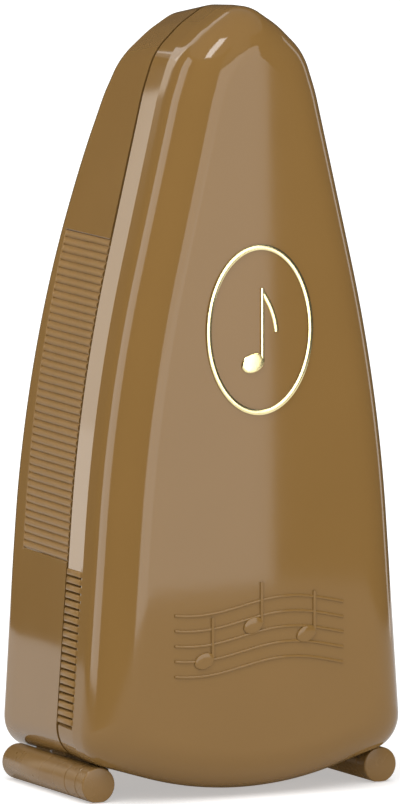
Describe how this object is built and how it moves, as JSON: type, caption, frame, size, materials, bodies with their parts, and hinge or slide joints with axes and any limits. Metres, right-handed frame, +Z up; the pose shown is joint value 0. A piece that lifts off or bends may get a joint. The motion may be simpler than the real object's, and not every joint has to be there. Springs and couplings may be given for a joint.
{
  "type": "metronome",
  "caption": "Small wind-up pendulum metronome in a two-part tapered plastic body with a pull-off front cover and two foot bars.",
  "frame": {"origin": "under the middle of the body, on the surface that the foot bars stand on", "axes": "+Z up, +Y towards the back with the winding key, front cover facing -Y, +X to the right seen from the front"},
  "size_m": [0.0718, 0.0558, 0.1601],
  "materials": {
    "body_plastic": "caramel brown moulded plastic, satin to gloss",
    "cover_plastic": "caramel brown moulded plastic, high gloss",
    "foot_plastic": "caramel brown moulded plastic, satin",
    "key_plastic": "caramel brown moulded plastic",
    "badge_gold": "pale gilt foil",
    "panel_plastic": "ivory moulded plastic",
    "clip_plastic": "black moulded plastic",
    "scale_aluminium": "printed plate, satin",
    "steel_screws": "bright screws",
    "bright_steel": "polished steel",
    "spring_steel": "blued spring steel",
    "weight_chrome": "bright plated zinc",
    "bob_iron": "blackened iron",
    "brass_plates": "lacquered brass",
    "brass_parts": "turned brass"
  },
  "bodies": {
    "case": {"rear_case": "body_plastic", "foot_left": "foot_plastic", "foot_right": "foot_plastic", "foot_screws": "steel_screws", "front_panel": "panel_plastic", "panel_screws": "steel_screws", "scale_plate": "scale_aluminium", "park_clip": "clip_plastic", "park_clip_screw": "steel_screws", "panel_bush": "brass_parts", "movement_front_plate": "brass_plates", "movement_rear_plate": "brass_plates", "plate_pillars": "brass_parts", "plate_screws": "steel_screws", "plate_bushes": "brass_parts", "movement_screws": "steel_screws", "click_stud": "bright_steel", "click_spring": "spring_steel"},
    "cover": {"front_cover": "cover_plastic", "cover_badge": "badge_gold"},
    "pendulum": {"pendulum_arbor": "bright_steel", "pendulum_hub": "brass_parts", "pendulum_nut": "brass_parts", "pendulum_rod": "bright_steel", "pallet_anchor": "bright_steel", "bob_arm": "bright_steel", "lower_weight": "bob_iron"},
    "tempo_weight": {"sliding_weight": "weight_chrome", "weight_spring": "spring_steel"},
    "winder": {"winding_key": "key_plastic", "winding_arbor": "bright_steel", "ratchet_wheel": "bright_steel"},
    "barrel": {"spring_barrel": "brass_parts", "barrel_cover": "brass_parts", "mainspring": "spring_steel"},
    "middle": {"middle_arbor": "bright_steel", "middle_wheel": "brass_parts"},
    "escape": {"escape_arbor": "bright_steel", "escape_wheel": "brass_parts"},
    "pawl": {"click": "bright_steel"}
  },
  "joints": [
    {"name": "cover_slide", "type": "slide", "parent": "case", "child": "cover", "axis": [0, -1, 0], "range_m": [0, 0.06]},
    {"name": "pendulum_swing", "type": "hinge", "parent": "case", "child": "pendulum", "pos_m": [0, 0, 0.044], "axis": [0, 1, 0], "range_deg": [-10, 10]},
    {"name": "weight_slide", "type": "slide", "parent": "pendulum", "child": "tempo_weight", "axis": [0, 0, 1], "range_m": [-0.024, 0.026]},
    {"name": "key_turn", "type": "hinge", "parent": "case", "child": "winder", "pos_m": [0, 0, 0.0326], "axis": [0, 1, 0], "continuous": true},
    {"name": "barrel_turn", "type": "hinge", "parent": "case", "child": "barrel", "pos_m": [0, 0, 0.0326], "axis": [0, 1, 0], "continuous": true},
    {"name": "middle_turn", "type": "hinge", "parent": "case", "child": "middle", "pos_m": [0.00473, 0, 0.04683], "axis": [0, 1, 0], "continuous": true},
    {"name": "escape_turn", "type": "hinge", "parent": "case", "child": "escape", "pos_m": [0, 0, 0.05564], "axis": [0, 1, 0], "continuous": true},
    {"name": "click_lift", "type": "hinge", "parent": "case", "child": "pawl", "pos_m": [-0.009, 0, 0.0436], "axis": [0, 1, 0], "range_deg": [0, 8], "stiffness_Nm_per_rad": 0.001, "springref_deg": -17.19}
  ],
  "couplings": [
    {"joint": "middle_turn", "follows": "barrel_turn", "ratio": -4},
    {"joint": "escape_turn", "follows": "barrel_turn", "ratio": 16}
  ]
}
